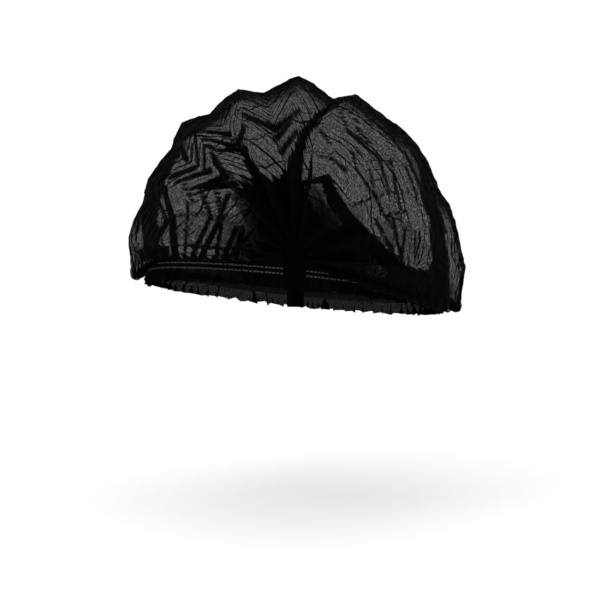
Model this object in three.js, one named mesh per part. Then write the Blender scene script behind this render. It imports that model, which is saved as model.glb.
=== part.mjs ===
// A clip cap: a throw-away hair cover of thin black nonwoven cloth, as it sits on a head.
// The cloth is pleated lengthwise, its two ends are welded shut, and an elastic is sewn
// along each side, so it opens into a puffed crown with a ruffled hem.
//
// Millimetres, +Z up. The cap's front faces -Y and its left side, seen from the front, is -X.
// The origin is the middle of the hole for the head, in the plane of the elastic.
import * as THREE from "three";

// Driving sizes
const HEAD_HALF_WIDTH = 79.5; // the elastic's oval, which is the head's own size there
const HEAD_HALF_DEPTH = 101;
const RIM_FALL_RIGHT = 0.102; // the cap sits askew: its rim drops to the right
const RIM_FALL_BACK = 0.155; // and towards the nape
const CROWN_HALF_WIDTH = 92;
const CROWN_DEPTH = { front: 112, back: 120 };
const CROWN_RISE = 93.8; // from the crown's widest level to its top
const CROWN_SHIFT_RIGHT = 1.5;
const CROWN_FALL_RIGHT = 0.051;
const CROWN_LEVEL = { front: 21, middle: 14.5, back: -11 }; // its widest level
const CROWN_WALL = 1.7; // measured along the crown's normal, so a sloping pleat is about 1.2 thick
const FULLNESS = 2.3; // exponent of the crown's side profile: 2 is an ellipse, more is fuller
const END_PULL = { front: 9, back: 16 }; // how far the welded ends pull the crown back in
const END_PULL_SHARPNESS = 20; // exponent: the higher, the nearer to the end the pull begins
const END_LEVEL_SHARPNESS = 5; // the same for the change of the crown's level

const ELASTIC_WIDTH = 4;
const ELASTIC_THICK = 1;
const FRILL_HEIGHT = 10.5;
const FRILL_WALL = 1.5;
const FRILL_OFFSET = 1; // the frill's middle stands this far outside the oval
const FRILL_AMPLITUDE = 2.3;
const FRILL_RAGGED = { broad: 0.1, broadStep: 2.3, fine: 0.07, fineStep: 5.1 }; // share of its height
const RUFFLES_PER_SIDE = 37;
const HEM_LIFT = 1.25; // the crown's edge above the elastic's plane
const GATHER_DEPTH = 1.1;
const GAP = 0.35; // clearance between neighbouring pieces

const END_THICK = 3;
const END_TAB_HALF_WIDTH = 4.6;
const END_CLEARANCE = 0.75; // between the welded plate and the middle of the crown's wall

// Angles along the cap, from its front end (0 degrees) over the head to its back end (180)
const FIRST_ANGLE = 2.4;
const HEM_FIRST_ANGLE = 3.7;
const CROWN_STATIONS = 2 * RUFFLES_PER_SIDE;
const PLACES = { brow: 35, top: 90, nape: 145 }; // where a value given in threes applies

// The dome is round down to a turn of about 0 degrees; lower down it curls in to the elastic.
// turn: where the dome ends, in degrees above its widest level. out and lift: how strongly the
// cloth leaves the elastic sideways and upwards. up: how strongly it meets the dome.
// Each is given at the brow, over the top and at the nape. At its left the brow has hardly any
// overhang, and the sides hang lowest just in front of the ears.
const CURLS = {
  left: { turn: [7, -6, -4], out: [18, 36, 36], lift: [12, 0, 8], up: [20, 40, 40] },
  right: { turn: [-10, -10, -10], out: [36, 38, 36], lift: [8, 2, 8], up: [42, 40, 40] },
};
const CURL_SHARE = 0.09; // share of the cloth's width in each curl
const STEEPEST_PLEAT = 1.25; // rise of a pleat's side over its run
const NORMAL_STEP = { angle: 0.3, across: 0.004 };

// The pleats, from the left elastic over the top to the right elastic, one row for each crease.
// at: percent of the way across the cloth. rise: how far the crease stands off the smooth crown.
// Each is given at the brow, over the top and at the nape.
// gathers: how much of the hem's gathering shows at this crease.
const CREASES = [
  { name: "left_elastic", at: [0, 0, 0], rise: [0, 0, 0], gathers: 0 },
  { name: "left_hem", at: [1, 1, 1], rise: [0, 0, 0], gathers: 0.1 },
  { name: "left_gathers", at: [3, 3, 3], rise: [0, 0, 0], gathers: 1 },
  { name: "left_swell", at: [5.8, 5.6, 5.8], rise: [0.6, 1, 1], gathers: 0.6 },
  { name: "left_low_valley", at: [9.2, 8.6, 9], rise: [-1.4, -0.5, -1.4], gathers: 0 },
  { name: "left_low_ridge", at: [13.6, 12.5, 13.6], rise: [2, 1, 2.2], gathers: 0 },
  { name: "left_side_valley", at: [18.6, 18.2, 18.6], rise: [-2.8, -2.4, -2.6], gathers: 0 },
  { name: "left_side_ridge", at: [22.6, 21.6, 22.6], rise: [3, -0.6, 2.6], gathers: 0 },
  { name: "left_slope_valley", at: [26.8, 25.2, 26.8], rise: [-3, -3.4, -2.8], gathers: 0 },
  { name: "left_slope_ridge", at: [31.2, 29.4, 31], rise: [3.8, 0.8, 2.4], gathers: 0 },
  { name: "left_top_valley", at: [36.4, 33.6, 35.4], rise: [-4, -4.6, -3.4], gathers: 0 },
  { name: "left_top_ridge", at: [42, 40.4, 40.6], rise: [4.6, 1.6, 3], gathers: 0 },
  { name: "peak_valley", at: [45.6, 44, 45], rise: [-4.4, -3.8, -3], gathers: 0 },
  { name: "peak_ridge", at: [49.2, 49.1, 49.6], rise: [5, 4.6, 4], gathers: 0 },
  { name: "deep_valley", at: [52.8, 54, 54.2], rise: [-5.4, -4.8, -3.6], gathers: 0 },
  { name: "right_top_ridge", at: [56.8, 57.8, 59.4], rise: [4.2, 1.8, 3], gathers: 0 },
  { name: "right_top_valley", at: [62, 62.6, 64.6], rise: [-1.8, -2.2, -2.8], gathers: 0 },
  { name: "right_slope_ridge", at: [68, 68.6, 69.6], rise: [1.8, -1.4, 2.4], gathers: 0 },
  { name: "right_slope_valley", at: [74, 75.2, 75], rise: [-2, -5, -3], gathers: 0 },
  { name: "right_side_ridge", at: [80, 80.6, 80.6], rise: [2, -2.2, 2.2], gathers: 0 },
  { name: "right_side_valley", at: [84.6, 84, 85], rise: [-1.8, -1.8, -2.2], gathers: 0 },
  { name: "right_low_ridge", at: [88.6, 87.6, 89], rise: [1.2, 0.4, 1.2], gathers: 0 },
  { name: "right_low_valley", at: [91.8, 91.4, 92], rise: [-1, -0.4, -1], gathers: 0 },
  { name: "right_swell", at: [94.2, 94.4, 94.2], rise: [0.6, 1, 1], gathers: 0.6 },
  { name: "right_gathers", at: [97, 97, 97], rise: [0, 0, 0], gathers: 1 },
  { name: "right_hem", at: [99, 99, 99], rise: [0, 0, 0], gathers: 0.1 },
  { name: "right_elastic", at: [100, 100, 100], rise: [0, 0, 0], gathers: 0 },
];

const CLOTH = { color: 0x0c0c0d, roughness: 0.85, metalness: 0 };
const WEBBING = { color: 0x101012, roughness: 0.7, metalness: 0 };
const WELD = { color: 0x08080a, roughness: 0.45, metalness: 0 };

const rad = THREE.MathUtils.degToRad;

// A value given at the brow, over the top and at the nape, blended for an angle in degrees.
function blend([brow, top, nape], angle) {
  const toTop = THREE.MathUtils.smoothstep(angle, PLACES.brow, PLACES.top);
  const toNape = THREE.MathUtils.smoothstep(angle, PLACES.top, PLACES.nape);
  return THREE.MathUtils.lerp(THREE.MathUtils.lerp(brow, top, toTop), nape, toNape);
}

// How wide the crown is at an angle, as a share of its greatest width.
function swell(angle) {
  return Math.sin(rad(angle)) ** (2 / FULLNESS);
}

// The level direction that points out of the elastic's oval. side is -1 left and 1 right.
function rimNormal(angle, side) {
  const x = (side * Math.sin(rad(angle))) / HEAD_HALF_WIDTH;
  const y = -Math.cos(rad(angle)) / HEAD_HALF_DEPTH;
  return new THREE.Vector3(x, y, 0).normalize();
}

// A point of the oval, moved out of it by offset and down by drop.
function rimPoint(angle, side, offset = 0, drop = 0) {
  const x = side * HEAD_HALF_WIDTH * Math.sin(rad(angle));
  const y = -HEAD_HALF_DEPTH * Math.cos(rad(angle));
  const z = -RIM_FALL_RIGHT * x - RIM_FALL_BACK * y - drop;
  return new THREE.Vector3(x, y, z).addScaledVector(rimNormal(angle, side), offset);
}

// The smooth dome over the head, without its pleats. turn is 0 degrees at its left, 180 at its right.
function domePoint(angle, turn) {
  const end = angle < 90 ? "front" : "back";
  const ahead = Math.abs(Math.cos(rad(angle)));
  const pull = END_PULL[end] * ahead ** END_PULL_SHARPNESS;
  const reach = CROWN_DEPTH[end] * ahead ** (2 / FULLNESS) - pull;
  const toEnd = ahead ** END_LEVEL_SHARPNESS;
  const level = THREE.MathUtils.lerp(CROWN_LEVEL.middle, CROWN_LEVEL[end], toEnd);
  const x = CROWN_SHIFT_RIGHT * swell(angle) - CROWN_HALF_WIDTH * swell(angle) * Math.cos(rad(turn));
  const z = level + CROWN_RISE * swell(angle) * Math.sin(rad(turn)) - CROWN_FALL_RIGHT * x;
  return new THREE.Vector3(x, end === "front" ? -reach : reach, z);
}

// The smooth cloth: out of one elastic, over the dome and into the other. across runs from 0 to 1.
function clothPoint(angle, across) {
  const firstTurn = blend(CURLS.left.turn, angle);
  const lastTurn = 180 - blend(CURLS.right.turn, angle);
  const side = across < 0.5 ? -1 : 1;
  const inward = side < 0 ? across : 1 - across;
  if (inward >= CURL_SHARE) {
    const share = (across - CURL_SHARE) / (1 - 2 * CURL_SHARE);
    return domePoint(angle, THREE.MathUtils.lerp(firstTurn, lastTurn, share));
  }
  const curl = side < 0 ? CURLS.left : CURLS.right;
  const edgeTurn = side < 0 ? firstTurn : lastTurn;
  const start = rimPoint(angle, side, 0, -HEM_LIFT);
  const end = domePoint(angle, edgeTurn);
  const leaving = rimNormal(angle, side).multiplyScalar(blend(curl.out, angle) * swell(angle));
  leaving.z += blend(curl.lift, angle) * swell(angle);
  const arriving = domePoint(angle, edgeTurn - side).sub(end);
  arriving.setLength(blend(curl.up, angle) * swell(angle));
  return hermite(start, leaving, end, arriving, inward / CURL_SHARE);
}

function hermite(start, leaving, end, arriving, t) {
  const t2 = t * t;
  const t3 = t2 * t;
  return start
    .clone()
    .multiplyScalar(2 * t3 - 3 * t2 + 1)
    .addScaledVector(leaving, t3 - 2 * t2 + t)
    .addScaledVector(end, -2 * t3 + 3 * t2)
    .addScaledVector(arriving, t3 - t2);
}

// The direction out of the smooth cloth, from points a small step away on either side.
function clothNormal(angle, across) {
  const low = Math.max(0, across - NORMAL_STEP.across);
  const high = Math.min(1, across + NORMAL_STEP.across);
  const ahead = angle - NORMAL_STEP.angle;
  const behind = angle + NORMAL_STEP.angle;
  const alongCloth = clothPoint(angle, high).sub(clothPoint(angle, low));
  const alongCap = clothPoint(behind, across).sub(clothPoint(ahead, across));
  return alongCloth.cross(alongCap).normalize();
}

// One closed solid from a grid of { at, out }: at is the middle of the wall and out its normal.
function wallOf(grid, thick) {
  const rows = grid.length;
  const columns = grid[0].length;
  const positions = [];
  for (const side of [0.5, -0.5]) {
    for (const row of grid) {
      for (const { at, out } of row) {
        positions.push(...at.clone().addScaledVector(out, side * thick).toArray());
      }
    }
  }
  const outer = (i, j) => i * columns + j;
  const inner = (i, j) => rows * columns + outer(i, j);
  const faces = [];
  const quad = (a, b, c, d) => faces.push(a, b, c, a, c, d);
  for (let i = 0; i + 1 < rows; i++) {
    for (let j = 0; j + 1 < columns; j++) {
      quad(outer(i, j), outer(i, j + 1), outer(i + 1, j + 1), outer(i + 1, j));
      quad(inner(i, j), inner(i + 1, j), inner(i + 1, j + 1), inner(i, j + 1));
    }
    const last = columns - 1;
    quad(outer(i, 0), outer(i + 1, 0), inner(i + 1, 0), inner(i, 0));
    quad(outer(i, last), inner(i, last), inner(i + 1, last), outer(i + 1, last));
  }
  for (let j = 0; j + 1 < columns; j++) {
    const last = rows - 1;
    quad(outer(0, j), inner(0, j), inner(0, j + 1), outer(0, j + 1));
    quad(outer(last, j), outer(last, j + 1), inner(last, j + 1), inner(last, j));
  }
  return facingOut(positions, faces);
}

// The geometry, with its faces turned round if they point inwards.
function facingOut(positions, faces) {
  const corner = (k) => new THREE.Vector3().fromArray(positions, 3 * faces[k]);
  let volume = 0;
  for (let k = 0; k < faces.length; k += 3) {
    volume += corner(k).dot(corner(k + 1).cross(corner(k + 2)));
  }
  const turned = volume < 0 ? faces.slice().reverse() : faces;
  const geometry = new THREE.BufferGeometry();
  geometry.setAttribute("position", new THREE.Float32BufferAttribute(positions, 3));
  geometry.setIndex(turned);
  geometry.computeVertexNormals();
  return geometry;
}

// Where the creases cross the cloth at one angle, and how high each stands.
// sign is 1 or -1 by turns from one station to the next, which makes the gathers.
function creasesAt(angle, sign = 0) {
  const marks = CREASES.map(({ at, rise, gathers }) => ({
    across: blend(at, angle) / 100,
    rise: blend(rise, angle),
    gather: gathers * sign * GATHER_DEPTH * swell(angle),
  }));
  const width = swell(angle) * Math.PI * CROWN_HALF_WIDTH;
  return marks.map(({ across, rise, gather }, k) => {
    if (k === 0 || k === marks.length - 1) return { across, rise };
    const most = (STEEPEST_PLEAT * width * (marks[k + 1].across - marks[k - 1].across)) / 4;
    return { across, rise: THREE.MathUtils.clamp(rise, -most, most) + gather };
  });
}

function crown() {
  const grid = [];
  for (let i = 0; i <= CROWN_STATIONS; i++) {
    const angle = THREE.MathUtils.lerp(FIRST_ANGLE, 180 - FIRST_ANGLE, i / CROWN_STATIONS);
    grid.push(
      creasesAt(angle, i % 2 ? 1 : -1).map(({ across, rise }) => {
        const out = clothNormal(angle, across);
        return { at: clothPoint(angle, across).addScaledVector(out, rise), out };
      }),
    );
  }
  return wallOf(grid, CROWN_WALL);
}

// A closed band that hangs from the elastic's oval on one side of the head.
// rowsAt(i) gives, for each row down the band at station i, its drop and its offset from the oval.
function band(side, steps, thick, rowsAt) {
  const grid = [];
  for (let i = 0; i <= steps; i++) {
    const angle = THREE.MathUtils.lerp(HEM_FIRST_ANGLE, 180 - HEM_FIRST_ANGLE, i / steps);
    const out = rimNormal(angle, side);
    grid.push(
      rowsAt(i).map(({ drop, offset }) => ({ at: rimPoint(angle, side, offset, drop), out })),
    );
  }
  return wallOf(grid, thick);
}

// The cloth below the elastic: flat against it at the top, then standing out in ruffles.
const FRILL_ROWS = [
  { name: "seam", height: 0, wave: 0 },
  { name: "lower_stitch", height: 0.4, wave: 0.25 },
  { name: "flare", height: 0.7, wave: 0.8 },
  { name: "edge", height: 1, wave: 1 },
];

function frill(side) {
  return band(side, CROWN_STATIONS, FRILL_WALL, (i) => {
    const broad = FRILL_RAGGED.broad * Math.sin(FRILL_RAGGED.broadStep * i);
    const fine = FRILL_RAGGED.fine * Math.sin(FRILL_RAGGED.fineStep * i);
    const wave = i % 2 ? FRILL_AMPLITUDE : -FRILL_AMPLITUDE;
    return FRILL_ROWS.map((row) => ({
      drop: FRILL_HEIGHT * row.height * (1 + broad + fine),
      offset: FRILL_OFFSET + row.wave * wave,
    }));
  });
}

function elastic(side) {
  const inside = FRILL_WALL / 2 + FRILL_AMPLITUDE / 4 + GAP + ELASTIC_THICK / 2;
  const offset = FRILL_OFFSET - inside;
  return band(side, RUFFLES_PER_SIDE, ELASTIC_THICK, () => [
    { drop: 0, offset },
    { drop: ELASTIC_WIDTH, offset },
  ]);
}

// The welded end of the pleats: a plate that fills the hole in the crown's end, and a tab below.
function weldedEnd(angle) {
  const edge = creasesAt(angle).map(({ across }) => clothPoint(angle, across));
  const rim = rimPoint(angle, 1).z - GAP / 2; // the right side is the lower one
  const middle = new THREE.Vector3(0, 0, domePoint(angle, 90).z - END_TAB_HALF_WIDTH);
  const arch = edge.map(({ x, z }) => {
    const point = new THREE.Vector3(x, 0, z);
    return point.add(middle.clone().sub(point).setLength(END_CLEARANCE));
  });
  const shape = new THREE.Shape();
  shape.moveTo(-END_TAB_HALF_WIDTH, rim - FRILL_HEIGHT);
  shape.lineTo(END_TAB_HALF_WIDTH, rim - FRILL_HEIGHT);
  shape.lineTo(END_TAB_HALF_WIDTH, rim);
  shape.lineTo(arch[arch.length - 1].x, rim);
  for (const point of arch.slice().reverse()) shape.lineTo(point.x, point.z);
  shape.lineTo(arch[0].x, rim);
  shape.lineTo(-END_TAB_HALF_WIDTH, rim);
  shape.closePath();
  const geometry = new THREE.ExtrudeGeometry(shape, { depth: END_THICK, bevelEnabled: false });
  geometry.rotateX(Math.PI / 2);
  geometry.translate(0, clothPoint(angle, 0.5).y + END_THICK / 2, 0);
  return geometry;
}

function piece(name, geometry, finish) {
  const mesh = new THREE.Mesh(geometry, new THREE.MeshStandardMaterial(finish));
  mesh.name = name;
  return mesh;
}

const cap = new THREE.Group();
cap.add(
  piece("crown", crown(), CLOTH),
  piece("frill_left", frill(-1), CLOTH),
  piece("frill_right", frill(1), CLOTH),
  piece("elastic_left", elastic(-1), WEBBING),
  piece("elastic_right", elastic(1), WEBBING),
  piece("welded_end_front", weldedEnd(FIRST_ANGLE), WELD),
  piece("welded_end_back", weldedEnd(180 - FIRST_ANGLE), WELD),
);
export default cap;
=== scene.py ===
# %% [markdown]
# A throw-away hair cover, open as it is when worn.
#
# The real cap is one nearly square sheet of thin black nonwoven cloth. It is pleated lengthwise
# like an accordion, its two ends are welded shut, and an elastic is sewn along each long side with
# a double row of stitches. Pulled open it becomes a puffed crown with a ruffled hem.
# The scene is in metres, in the frame of the CAD model, which is loaded first. The cloth's shape
# is worked out in millimetres, and turned into metres when its mesh is made.

# %% Load the frame
import math
from collections import namedtuple

import bpy
import numpy as np
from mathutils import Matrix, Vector


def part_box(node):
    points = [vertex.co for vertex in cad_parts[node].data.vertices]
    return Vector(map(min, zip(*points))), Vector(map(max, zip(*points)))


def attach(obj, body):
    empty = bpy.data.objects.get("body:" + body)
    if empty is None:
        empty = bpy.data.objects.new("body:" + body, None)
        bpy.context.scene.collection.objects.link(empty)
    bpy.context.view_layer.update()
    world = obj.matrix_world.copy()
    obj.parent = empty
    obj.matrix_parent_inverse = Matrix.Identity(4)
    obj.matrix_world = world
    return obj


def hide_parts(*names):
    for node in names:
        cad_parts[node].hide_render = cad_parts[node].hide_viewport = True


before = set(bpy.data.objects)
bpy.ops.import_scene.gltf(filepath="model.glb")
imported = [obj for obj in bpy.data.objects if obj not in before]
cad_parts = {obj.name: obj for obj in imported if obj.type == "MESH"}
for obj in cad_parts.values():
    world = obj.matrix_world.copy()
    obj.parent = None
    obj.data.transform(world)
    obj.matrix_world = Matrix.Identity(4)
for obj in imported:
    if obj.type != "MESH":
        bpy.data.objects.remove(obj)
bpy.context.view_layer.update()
MM = 0.001

# %% [markdown]
# The camera comes first, because it decides what has to look right. The photograph was taken
# from straight ahead and slightly above with a long lens. The camera stands 1.35 m away, and its
# lens is chosen so that 600 pixels cover 336 mm at the cap.

# %% Camera
CAMERA_DISTANCE = 1.35
CAMERA_ELEVATION = math.radians(6)
VIEW_WIDTH = 336 * MM
VIEW_CENTRE = Vector((2.8 * MM, 0, -11.5 * MM))  # across and up from the origin, as the camera sees it
SENSOR_WIDTH = 36  # mm, as on a full-frame camera
FARTHEST_SEEN = 20


def new_object(name, data):
    """A new object in the scene that shows the given camera, mesh or light."""
    obj = bpy.data.objects.new(name, data)
    bpy.context.scene.collection.objects.link(obj)
    return obj


def make_camera():
    data = bpy.data.cameras.new("camera")
    data.sensor_width = SENSOR_WIDTH
    data.lens = SENSOR_WIDTH * CAMERA_DISTANCE / VIEW_WIDTH
    data.clip_end = FARTHEST_SEEN
    camera = new_object("camera", data)
    back = Vector((0, -math.cos(CAMERA_ELEVATION), math.sin(CAMERA_ELEVATION)))
    up = Vector((0, math.sin(CAMERA_ELEVATION), math.cos(CAMERA_ELEVATION)))
    aim = Vector((VIEW_CENTRE.x, 0, 0)) + up * VIEW_CENTRE.z
    camera.location = aim + back * CAMERA_DISTANCE
    camera.rotation_euler = (math.radians(90) - CAMERA_ELEVATION, 0, 0)
    bpy.context.scene.camera = camera
    return camera


camera = make_camera()
print("lens:", round(camera.data.lens, 1), "mm")

# %% [markdown]
# The cap's form is a smooth dome with pleats standing on it. The dome is a superellipse from end
# to end, the same as in the CAD model, whose sizes are repeated here in mm. A place on the cloth has
# two coordinates: an angle along the cap, from its front end at 0 to its back end at 180 degrees,
# and a share across the cloth, from its left elastic at 0 to its right elastic at 1. Working with
# arrays moves all of the cloth at once.

# %% The smooth dome and the elastic's oval
RIM_HALF_WIDTH = 79.5
RIM_HALF_DEPTH = 101
RIM_FALL_RIGHT = 0.102
RIM_FALL_BACK = 0.155
CROWN_HALF_WIDTH = 92
CROWN_DEPTH = {"front": 112, "back": 120}
CROWN_RISE = 93.8
CROWN_SHIFT_RIGHT = 1.5
CROWN_FALL_RIGHT = 0.051
CROWN_LEVEL = {"front": 21, "middle": 14.5, "back": -11}
FULLNESS = 2.3
END_PULL = {"front": 9, "back": 16}  # how far the welded ends draw the cloth in
END_PULL_POWER = 20  # the higher, the nearer to the end the pull begins
END_LEVEL_POWER = 5
PLACES = {"brow": 35, "top": 90, "nape": 145}  # angles where a value given in threes applies
NEARLY_ZERO = 1e-9


def ease(value, start, end):
    """0 before start and 1 after end, with a smooth change between them."""
    t = np.clip((value - start) / (end - start), 0, 1)
    return t * t * (3 - 2 * t)


def blend(values, angle):
    """A value given at the brow, over the top and at the nape, at each angle."""
    brow, top, nape = values
    forward = brow + (top - brow) * ease(angle, PLACES["brow"], PLACES["top"])
    return forward + (nape - forward) * ease(angle, PLACES["top"], PLACES["nape"])


def swell(angle):
    """How wide the dome is at each angle, as a share of its full width."""
    return np.sin(np.radians(angle)) ** (2 / FULLNESS)


def unit(vectors):
    return vectors / np.maximum(np.linalg.norm(vectors, axis=-1, keepdims=True), NEARLY_ZERO)


def rim_normal(angle, side):
    """The direction out of the elastic's oval. Side is -1 at the left and 1 at the right."""
    x = side * np.sin(np.radians(angle)) / RIM_HALF_WIDTH
    y = -np.cos(np.radians(angle)) / RIM_HALF_DEPTH
    return unit(np.stack([x, y, 0 * x], -1))


def rim_point(angle, side, offset=0.0, drop=0.0):
    """A point of the elastic's oval, moved out by offset and down by drop."""
    x = side * RIM_HALF_WIDTH * np.sin(np.radians(angle))
    y = -RIM_HALF_DEPTH * np.cos(np.radians(angle))
    z = -RIM_FALL_RIGHT * x - RIM_FALL_BACK * y - drop
    return np.stack([x, y, z], -1) + rim_normal(angle, side) * np.asarray(offset)[..., None]


def dome_point(angle, turn):
    """A point of the dome. Turn goes from 0 at its left edge, over 90 at its top, to 180."""
    ahead = np.cos(np.radians(angle))
    is_front = ahead > 0
    share = np.abs(ahead)
    depth = np.where(is_front, CROWN_DEPTH["front"], CROWN_DEPTH["back"])
    pull = np.where(is_front, END_PULL["front"], END_PULL["back"])
    end_level = np.where(is_front, CROWN_LEVEL["front"], CROWN_LEVEL["back"])
    reach = depth * share ** (2 / FULLNESS) - pull * share**END_PULL_POWER
    level = CROWN_LEVEL["middle"] + (end_level - CROWN_LEVEL["middle"]) * share**END_LEVEL_POWER
    x = (CROWN_SHIFT_RIGHT - CROWN_HALF_WIDTH * np.cos(np.radians(turn))) * swell(angle)
    z = level + CROWN_RISE * swell(angle) * np.sin(np.radians(turn)) - CROWN_FALL_RIGHT * x
    return np.stack([x, np.where(is_front, -reach, reach), z], -1)


print("dome's top in mm:", dome_point(np.array(90.0), np.array(90.0)).round(1))

# %% [markdown]
# Below the dome the cloth curls in to the elastic. A Hermite curve does that: it starts at the
# elastic, leaves it sideways, and meets the dome in the dome's own direction, so there is no kink.
# The overhang differs from place to place: at the left of the brow the cloth rises straight from
# the elastic, and at the sides it hangs below it.

# %% The smooth cloth
HEM_START = {"offset": 1.1, "lift": 1.0}  # out from the elastic's oval and above it, in mm
CURL_SHARE = 0.09  # the share of the cloth's width that curls in, at each side
SHARE_STEP = 0.003  # steps over which directions are measured, across the cloth
ANGLE_STEP = 0.3  # and along it, in degrees
CURLS = {  # at brow, top, nape: where the dome ends (degrees), then the curve's three strengths (mm)
    -1: {"turn": (7, -5.5, -4), "out": (16, 28, 36), "lift": (13, -26, 8), "up": (20, 36, 40)},
    1: {"turn": (-10, -10, -10), "out": (30, 34, 36), "lift": (-26, -24, 8), "up": (43, 40, 40)},
}


def curl_point(angle, inward, side):
    """A point of the curl, inward from the elastic by a share of the cloth's width."""
    curl = {key: blend(values, angle)[..., None] for key, values in CURLS[side].items()}
    turn = curl["turn"][..., 0] if side < 0 else 180 - curl["turn"][..., 0]
    start = rim_point(angle, side, HEM_START["offset"] + 0 * angle, -HEM_START["lift"])
    end = dome_point(angle, turn)
    leaving = rim_normal(angle, side) * curl["out"] + np.array([0, 0, 1]) * curl["lift"]
    arriving = unit(dome_point(angle, turn - side) - end) * curl["up"]
    size = swell(angle)[..., None]
    t = np.clip(inward / CURL_SHARE, 0, 1)[..., None]
    return (
        start * (2 * t**3 - 3 * t**2 + 1)
        + leaving * size * (t**3 - 2 * t**2 + t)
        + end * (3 * t**2 - 2 * t**3)
        + arriving * size * (t**3 - t**2)
    )


def cloth_point(angle, across):
    """A point of the smooth cloth: the dome, with a curl at each side."""
    share = (across - CURL_SHARE) / (1 - 2 * CURL_SHARE)
    first = blend(CURLS[-1]["turn"], angle)
    last = 180 - blend(CURLS[1]["turn"], angle)
    dome = dome_point(angle, first + (last - first) * np.clip(share, 0, 1))
    left = curl_point(angle, across, -1)
    right = curl_point(angle, 1 - across, 1)
    point = np.where((across < CURL_SHARE)[..., None], left, dome)
    return np.where((across > 1 - CURL_SHARE)[..., None], right, point)


def cloth_frame(angle, across):
    """The point, the direction out of the cloth and the direction across it, towards the right."""
    low = np.clip(across - SHARE_STEP, 0, 1)
    high = np.clip(across + SHARE_STEP, 0, 1)
    sideways = unit(cloth_point(angle, high) - cloth_point(angle, low))
    onwards = cloth_point(angle + ANGLE_STEP, across) - cloth_point(angle - ANGLE_STEP, across)
    return cloth_point(angle, across), unit(np.cross(sideways, onwards)), sideways


print("left side in mm:", cloth_point(np.array(90.0), np.array(0.05)).round(1))

# %% [markdown]
# The creases carry the look of the cap. Each row of this table is one crease, from the left
# elastic to the right one. Its place across the cloth and its height are given at the brow, over
# the top and at the back. Lean pushes a crease sideways, so that a deep pleat folds over and lies
# in three layers. Sweep says how far the crinkles run forward or back at the crease: neighbouring
# creases that sweep opposite ways give the herringbone that shows at the top of the cap.

# %% The pleats
Crease = namedtuple("Crease", "name places rises lean sweep")
TOP = 1  # which of three values applies over the top
CREASE_TABLE = [
    # name, at brow, top, back (percent), rise at brow, top, back (mm), lean (mm), sweep (mm)
    ("left_elastic", (0, 0, 0), (0, 0, 0), 0, 0),
    ("left_gathers", (3, 3, 3), (0, 0, 0), 0, 0),
    ("left_swell", (5, 5.6, 5.8), (0.4, 1, 1), 0, 0),
    ("left_low_valley", (7.2, 8.6, 9), (-0.3, -0.5, -1.4), 0, 0),
    ("left_low_ridge", (10, 12.5, 13.6), (0.6, 1, 2.2), 0, 2),
    ("left_side_valley", (14.5, 18.2, 18.6), (-1.2, -3.4, -2.6), 2, -5),
    ("left_side_ridge", (20.5, 21.8, 22.6), (2.4, -1.4, 2.6), -3, 4),
    ("left_slope_valley", (25, 26.6, 26.8), (-3, -4, -2.8), 2, -4),
    ("left_slope_ridge", (30, 31.4, 31.4), (4, 0.8, 2.4), -3, 2),
    ("left_top_valley", (34, 35, 35.8), (-4, -4.6, -3.4), 1, -10),
    ("left_top_ridge", (37.2, 40.4, 40.6), (4.6, 1.8, 3), 0, 8),
    ("peak_valley", (42, 44, 45), (-3.4, -4, -3), 0, -6),
    ("peak_ridge", (45.5, 49.1, 49.6), (4.6, 4.8, 4), 0, 13),
    ("deep_valley", (47.8, 54, 54.2), (-5, -5, -3.6), 5, -4),
    ("tuck_valley", (48.7, 54.8, 55), (-4.6, -4.6, -3.4), 2, 24),
    ("right_top_ridge", (51.5, 57.8, 59.4), (3.2, 0.8, 3), -5, 22),
    ("right_top_valley", (57.5, 62.6, 64.6), (-0.8, -1.6, -2.8), 0, 20),
    ("right_slope_ridge", (65, 68.6, 69.6), (0.8, -1.2, 2.4), 0, 12),
    ("right_slope_valley", (73, 75.2, 75), (-1.4, -4.4, -3), 0, 3),
    ("right_side_ridge", (79.6, 80.6, 80.6), (1.6, -2, 2.2), -2, -4),
    ("right_side_valley", (84, 84, 85), (-2.6, -1.8, -2.2), 2, -8),
    ("right_low_ridge", (88, 87.6, 89), (2.2, 0.6, 1.2), -2, -5),
    ("right_low_valley", (91.6, 91.4, 92), (-1, -0.4, -1), 0, -2),
    ("right_swell", (94.2, 94.4, 94.2), (0.6, 1, 1), 0, 0),
    ("right_gathers", (97, 97, 97), (0, 0, 0), 0, 0),
    ("right_elastic", (100, 100, 100), (0, 0, 0), 0, 0),
]
CREASES = [Crease(*row) for row in CREASE_TABLE]
FOLDS_TO = [{"ridge": 1, "valley": -1}.get(crease.name.split("_")[-1], 0) for crease in CREASES]
print(len(CREASES), "creases,", FOLDS_TO.count(1), "of them ridges")

# %% [markdown]
# Real cloth is never even. Sines of unrelated lengths, added up, give a wavering value that is
# the same on every run, and they work on whole arrays. Where it is used, the factors of u and v
# say how fast it wavers there, and a seed of its own keeps it from wavering like the others.

# %% A wavering value
WAVES = [  # waves over u, waves over v, start
    (1.0, 0.73, 0.2),
    (1.71, -1.19, 1.7),
    (2.63, 2.11, 3.9),
    (-3.37, 4.07, 5.3),
    (5.9, 3.1, 2.2),
]
WAVE_FADE = 0.35  # how much weaker each further wave is
WAVE_SUM = 2.4  # what brings the sum to about -1 to 1
SEED_STEP = 1.3


def waver(u, v, seed=0.0):
    """About -1 to 1, wavering over u and v. The longest wave is about 6 long over u."""
    total = 0
    for k, (a, b, start) in enumerate(WAVES):
        total = total + np.sin(a * u + b * v + start + seed * (SEED_STEP + k)) / (1 + WAVE_FADE * k)
    return total / WAVE_SUM


print("sample:", [round(float(waver(x, 0.5)), 2) for x in range(5)])

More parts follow.
